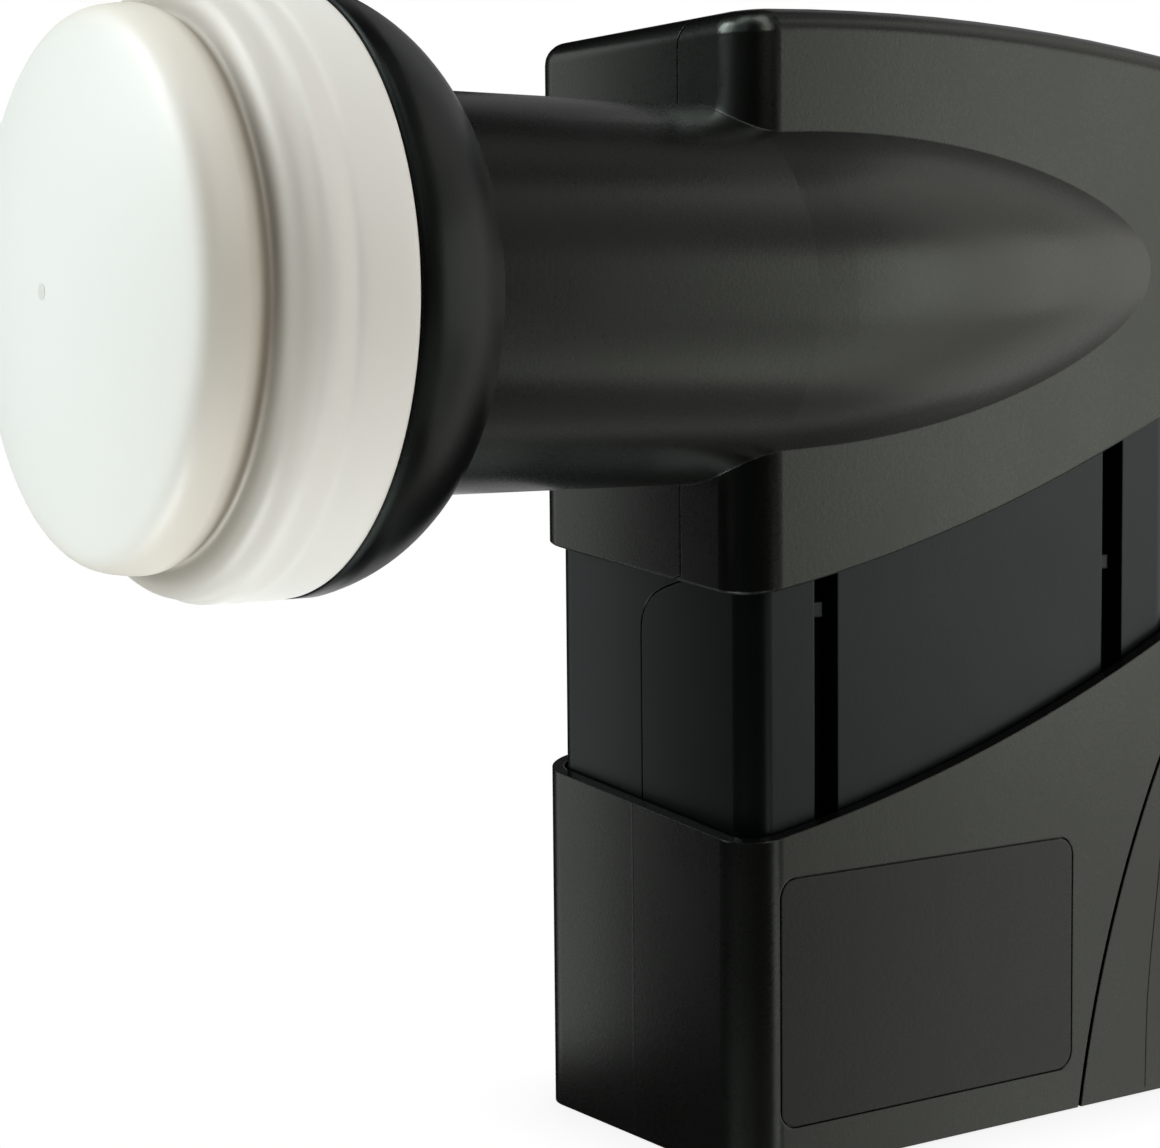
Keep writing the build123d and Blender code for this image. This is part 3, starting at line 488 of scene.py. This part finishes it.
# %% Gate mark
GATE_R = 0.75 * MM
GATE_DEPTH = 0.30 * MM
GATE_PROUD = 0.03 * MM
RIM_WIDTH, RIM_DEPTH = 0.28 * MM, 0.03 * MM
MIDDLE_INSET, MIDDLE_RISE = 0.20 * MM, 0.02 * MM
OUTER_FACE_NORMAL = -0.9
FINE_CREASE = math.radians(40)
TORN_MM = 0.3
TORN_DEPTH_MM = 0.02
cap_low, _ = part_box("feed_cap")
gate_y = cap_low.y - GATE_PROUD
bpy.ops.object.select_all(action="DESELECT")
bpy.ops.mesh.primitive_cylinder_add(vertices=40, radius=GATE_R, depth=GATE_DEPTH,
                                    location=(0, gate_y + GATE_DEPTH / 2, 0),
                                    rotation=(math.radians(90), 0, 0))
gate = bpy.context.object
gate.name = "cap_gate_mark"
bpy.ops.object.transform_apply(location=True, rotation=True)
bpy.ops.object.mode_set(mode="EDIT")
bpy.ops.mesh.select_all(action="DESELECT")
bpy.ops.object.mode_set(mode="OBJECT")
for face in gate.data.polygons:
    face.select = face.normal.y < OUTER_FACE_NORMAL
bpy.ops.object.mode_set(mode="EDIT")
bpy.ops.mesh.inset(thickness=RIM_WIDTH)
bpy.ops.transform.translate(value=(0, RIM_DEPTH, 0))
bpy.ops.mesh.inset(thickness=MIDDLE_INSET)
bpy.ops.transform.translate(value=(0, -MIDDLE_RISE, 0))
bpy.ops.object.mode_set(mode="OBJECT")
bpy.ops.object.shade_smooth_by_angle(angle=FINE_CREASE)
finish, tree, shader = start_finish("white_polypropylene_cut_sprue", "#e2e3da", 0.55, IOR=POLYPROPYLENE_IOR)
place = add(tree, "ShaderNodeTexCoord").outputs["Object"]
torn = add(tree, "ShaderNodeTexNoise", {"Vector": place, "Scale": per_metre(TORN_MM), "Detail": 2.0})
bump = add(tree, "ShaderNodeBump", {"Height": torn.outputs["Fac"], "Strength": 1.0,
                                    "Distance": TORN_DEPTH_MM * MM})
tree.links.new(bump.outputs["Normal"], shader.inputs["Normal"])
gate.data.materials.append(finish)
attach(gate, "housing")
print("gate mark at y", round(gate_y / MM, 2), "mm")

# %% [markdown]
# ## Mould lines on the sleeve
# Where two plates of the sleeve's mould meet, the plastic keeps a hair-thin raised line: one runs behind
# the styling groove, and one down the middle of the front. They are too thin for the solid model. Each is
# drawn as a chain of points on its face, just proud of it, extruded across so that it slopes back into the
# wall, and given a thickness.

# %% Mould lines
LINE_BURIED = 0.02 * MM
LINE_SUNK = 0.20 * MM
GROOVE_LINE = [(79.25, -63.5), (78.7, -68.0), (78.1, -72.7), (77.5, -77.4), (77.05, -82.2), (76.9, -87.0),
               (76.8, -92.6)]
GROOVE_LINE_WIDTH = 0.45 * MM
GROOVE_LINE_PROUD = 0.04 * MM
FRONT_LINE_X, FRONT_LINE_TOP, FRONT_LINE_FOOT = -9.2, -55.6, -92.6
FRONT_LINE_WIDTH = 1.0 * MM
FRONT_LINE_PROUD = 0.012 * MM
side_x = sleeve_high.x + GROOVE_LINE_PROUD
front_y = sleeve_low.y - FRONT_LINE_PROUD
mould_lines = {
    "sleeve_hair_ridge": ([(side_x, y * MM, z * MM) for y, z in GROOVE_LINE],
                          (-GROOVE_LINE_PROUD - LINE_BURIED, GROOVE_LINE_WIDTH, 0), (-LINE_SUNK, 0, 0)),
    "sleeve_front_line": ([(FRONT_LINE_X * MM, front_y, z * MM) for z in (FRONT_LINE_TOP, FRONT_LINE_FOOT)],
                          (-FRONT_LINE_WIDTH, FRONT_LINE_PROUD + LINE_BURIED, 0), (0, LINE_SUNK, 0)),
}
for name, (points, across, inwards) in mould_lines.items():
    line = draw_outline(name, points)
    bpy.ops.mesh.extrude_edges_move(TRANSFORM_OT_translate={"value": across})
    bpy.ops.mesh.select_all(action="SELECT")
    bpy.ops.mesh.extrude_region_move(TRANSFORM_OT_translate={"value": inwards})
    clean_edit_mesh(FINE_WELD)
    bpy.ops.object.shade_smooth_by_angle(angle=FINE_CREASE)
    line.data.materials.append(finishes["housing_plastic"])
    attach(line, "sleeve")
    print(name, len(line.data.polygons), "faces")

# %% [markdown]
# ## Floor
# The photograph has a pure white ground with hardly a shadow. A white card that glows by itself gives that
# without a horizon, and the Ambient Occlusion node darkens it a little close to the part, as a painted
# contact shadow. The card is left out of mirrors and shadows, so that light from below the part passes.

# %% Floor
FLOOR_GAP = 0.2 * MM
FLOOR_SIZE = 3.0
SHADE_REACH_MM = 12
CLOSE_AO, OPEN_AO = 0.2, 1.0
CLOSE_GLOW, OPEN_GLOW = 0.86, 1.0
foot_z = cad_box[0][2]
bpy.ops.object.select_all(action="DESELECT")
bpy.ops.mesh.primitive_plane_add(size=FLOOR_SIZE, location=(0, 0, foot_z - FLOOR_GAP))
floor = bpy.context.object
floor.name = "studio_floor"
card = bpy.data.materials.new("glowing_white_card")
card.use_nodes = True
tree = card.node_tree
tree.nodes.clear()
near = add(tree, "ShaderNodeAmbientOcclusion", {"Distance": SHADE_REACH_MM * MM}, samples=8)
# Painted contact shadow: the card's glow drops where the part stands close above it.
shade = add(tree, "ShaderNodeMapRange", {"Value": near.outputs["AO"],
                                         "From Min": CLOSE_AO, "From Max": OPEN_AO,
                                         "To Min": CLOSE_GLOW, "To Max": OPEN_GLOW})
glow = add(tree, "ShaderNodeEmission", {"Color": linear("#ffffff"), "Strength": shade.outputs["Result"]})
add(tree, "ShaderNodeOutputMaterial", {"Surface": glow.outputs["Emission"]})
floor.data.materials.append(card)
floor.visible_diffuse = False
floor.visible_glossy = False
floor.visible_shadow = False
print("floor at", round(foot_z / MM, 1), "mm")

# %% [markdown]
# ## Light
# The photograph was taken in a white tent, whose walls are large soft panels. Black plastic shows their
# reflection, so the shading of each face says how bright the wall was that it mirrors: bright to the right,
# dark round the camera, and lit from above and below in front, which is what the white cap shows. One table
# gives every panel by its height and compass angle in degrees, its width as an angle, its radiance and its
# tint. Three faint panels low in front keep the near side readable from behind. One narrow card close to
# the far corner makes the soft fall-off on the front face. The background is white for the camera alone.

# %% Tent of soft panels
scene = bpy.context.scene
scene.view_settings.view_transform = "Standard"
world = bpy.data.worlds.new("white_tent")
scene.world = world
world.use_nodes = True
world.node_tree.nodes["Background"].inputs["Color"].default_value = linear("#ffffff")
world.cycles_visibility.diffuse = False
world.cycles_visibility.glossy = False
AIM = Vector((0.0, 0.03, -0.02))
TENT_R = 0.6
PANEL_RISE = math.radians(30)
LEAST_NARROWING = 0.45
WARM, PLAIN, COOL = (1.05, 1.0, 0.96), (1.0, 1.0, 1.0), (0.95, 1.0, 1.02)
PANELS = [
    (-55, 0, 30, 2.2, WARM), (-55, 60, 30, 0.3, WARM), (-55, 90, 30, 0.65, WARM),
    (-55, 240, 30, 4.9, COOL), (-55, 270, 30, 8.6, COOL), (-55, 300, 30, 2.2, WARM),
    (-35, 270, 40, 0.12, PLAIN), (-35, 310, 40, 0.12, PLAIN), (-35, 345, 30, 0.12, PLAIN),
    (-25, 15, 10, 2.5, WARM), (-25, 35, 10, 0.4, WARM), (-25, 45, 10, 1.7, WARM),
    (-25, 55, 10, 1.2, WARM), (-25, 65, 10, 0.7, WARM), (-25, 80, 20, 1.0, WARM),
    (-25, 100, 20, 0.65, PLAIN), (-25, 120, 20, 0.45, PLAIN), (-25, 140, 20, 0.45, PLAIN),
    (-25, 155, 10, 1.0, PLAIN),
    (5, 35, 10, 0.6, WARM), (5, 45, 10, 2.8, WARM), (5, 55, 10, 1.3, WARM), (5, 65, 10, 1.9, WARM),
    (5, 80, 20, 1.1, WARM), (5, 100, 20, 0.65, PLAIN), (5, 120, 20, 0.45, PLAIN),
    (5, 140, 20, 0.45, PLAIN),
    (35, 0, 20, 3.3, WARM), (35, 40, 20, 0.32, WARM), (35, 60, 20, 0.95, WARM), (35, 80, 20, 0.8, WARM),
    (35, 100, 20, 0.45, PLAIN), (35, 120, 20, 0.45, PLAIN), (35, 140, 20, 0.25, PLAIN),
    (35, 240, 20, 11.5, COOL), (35, 260, 20, 3.7, COOL), (35, 280, 20, 0.6, COOL),
    (35, 300, 20, 0.5, COOL),
    (65, 0, 40, 3.4, PLAIN), (65, 80, 40, 0.25, PLAIN), (65, 280, 40, 2.4, COOL), (65, 320, 40, 0.4, COOL),
]
CARD_PLACE = Vector((-0.065, -0.005, -0.023))
CARD_AIM = Vector((-0.01, 0.018, -0.023))
CARD_SIZE = (0.02, 0.155)
CARD_RADIANCE = 0.95


def panel(name, place, aim, width, height, radiance, tint):
    """A soft panel of the given size and brightness that faces the aim point."""
    lamp = bpy.data.lights.new(name, "AREA")
    lamp.shape = "RECTANGLE"
    lamp.size = width
    lamp.size_y = height
    lamp.color = tint
    lamp.energy = math.pi * width * height * radiance
    holder = bpy.data.objects.new(name, lamp)
    scene.collection.objects.link(holder)
    facing = (Vector(place) - Vector(aim)).to_track_quat("Z", "Y")
    holder.matrix_world = Matrix.Translation(place) @ facing.to_matrix().to_4x4()
    holder.visible_camera = False


panel_height = 2 * TENT_R * math.tan(PANEL_RISE / 2)
for rise, compass, spread, radiance, tint in PANELS:
    up_angle, turn = math.radians(rise), math.radians(compass)
    level = math.cos(up_angle)
    way = Vector((level * math.cos(turn), level * math.sin(turn), math.sin(up_angle)))
    panel_width = 2 * TENT_R * math.tan(math.radians(spread / 2)) * max(level, LEAST_NARROWING)
    panel(f"tent_{rise}_{compass}", AIM + TENT_R * way, AIM, panel_width, panel_height, radiance, tint)
panel("corner_card", CARD_PLACE, CARD_AIM, *CARD_SIZE, CARD_RADIANCE, PLAIN)
print(len(bpy.data.lights), "panels")

# %% [markdown]
# ## Camera
# The camera was found from the photograph's upright, level and round edges, with the 40 mm neck as the
# known size. Two of its axes are given, and the third follows from them.

# %% Camera
CAMERA_PLACE = (0.22444, -0.14526, -0.00617)
lens = bpy.data.cameras.new("photo_camera")
lens.sensor_fit = "HORIZONTAL"
lens.sensor_width = 36.0
lens.lens = 80.87
lens.clip_start = 0.01
camera = bpy.data.objects.new("photo_camera", lens)
scene.collection.objects.link(camera)
right = Vector((0.5574, 0.8302, -0.0095)).normalized()
back = Vector((0.8277, -0.5548, 0.0837)).normalized()
up = back.cross(right).normalized()
right = up.cross(back).normalized()
axes = Matrix((right, up, back)).transposed()
camera.matrix_world = Matrix.Translation(CAMERA_PLACE) @ axes.to_4x4()
scene.camera = camera
print("camera at", [round(v, 4) for v in camera.location])
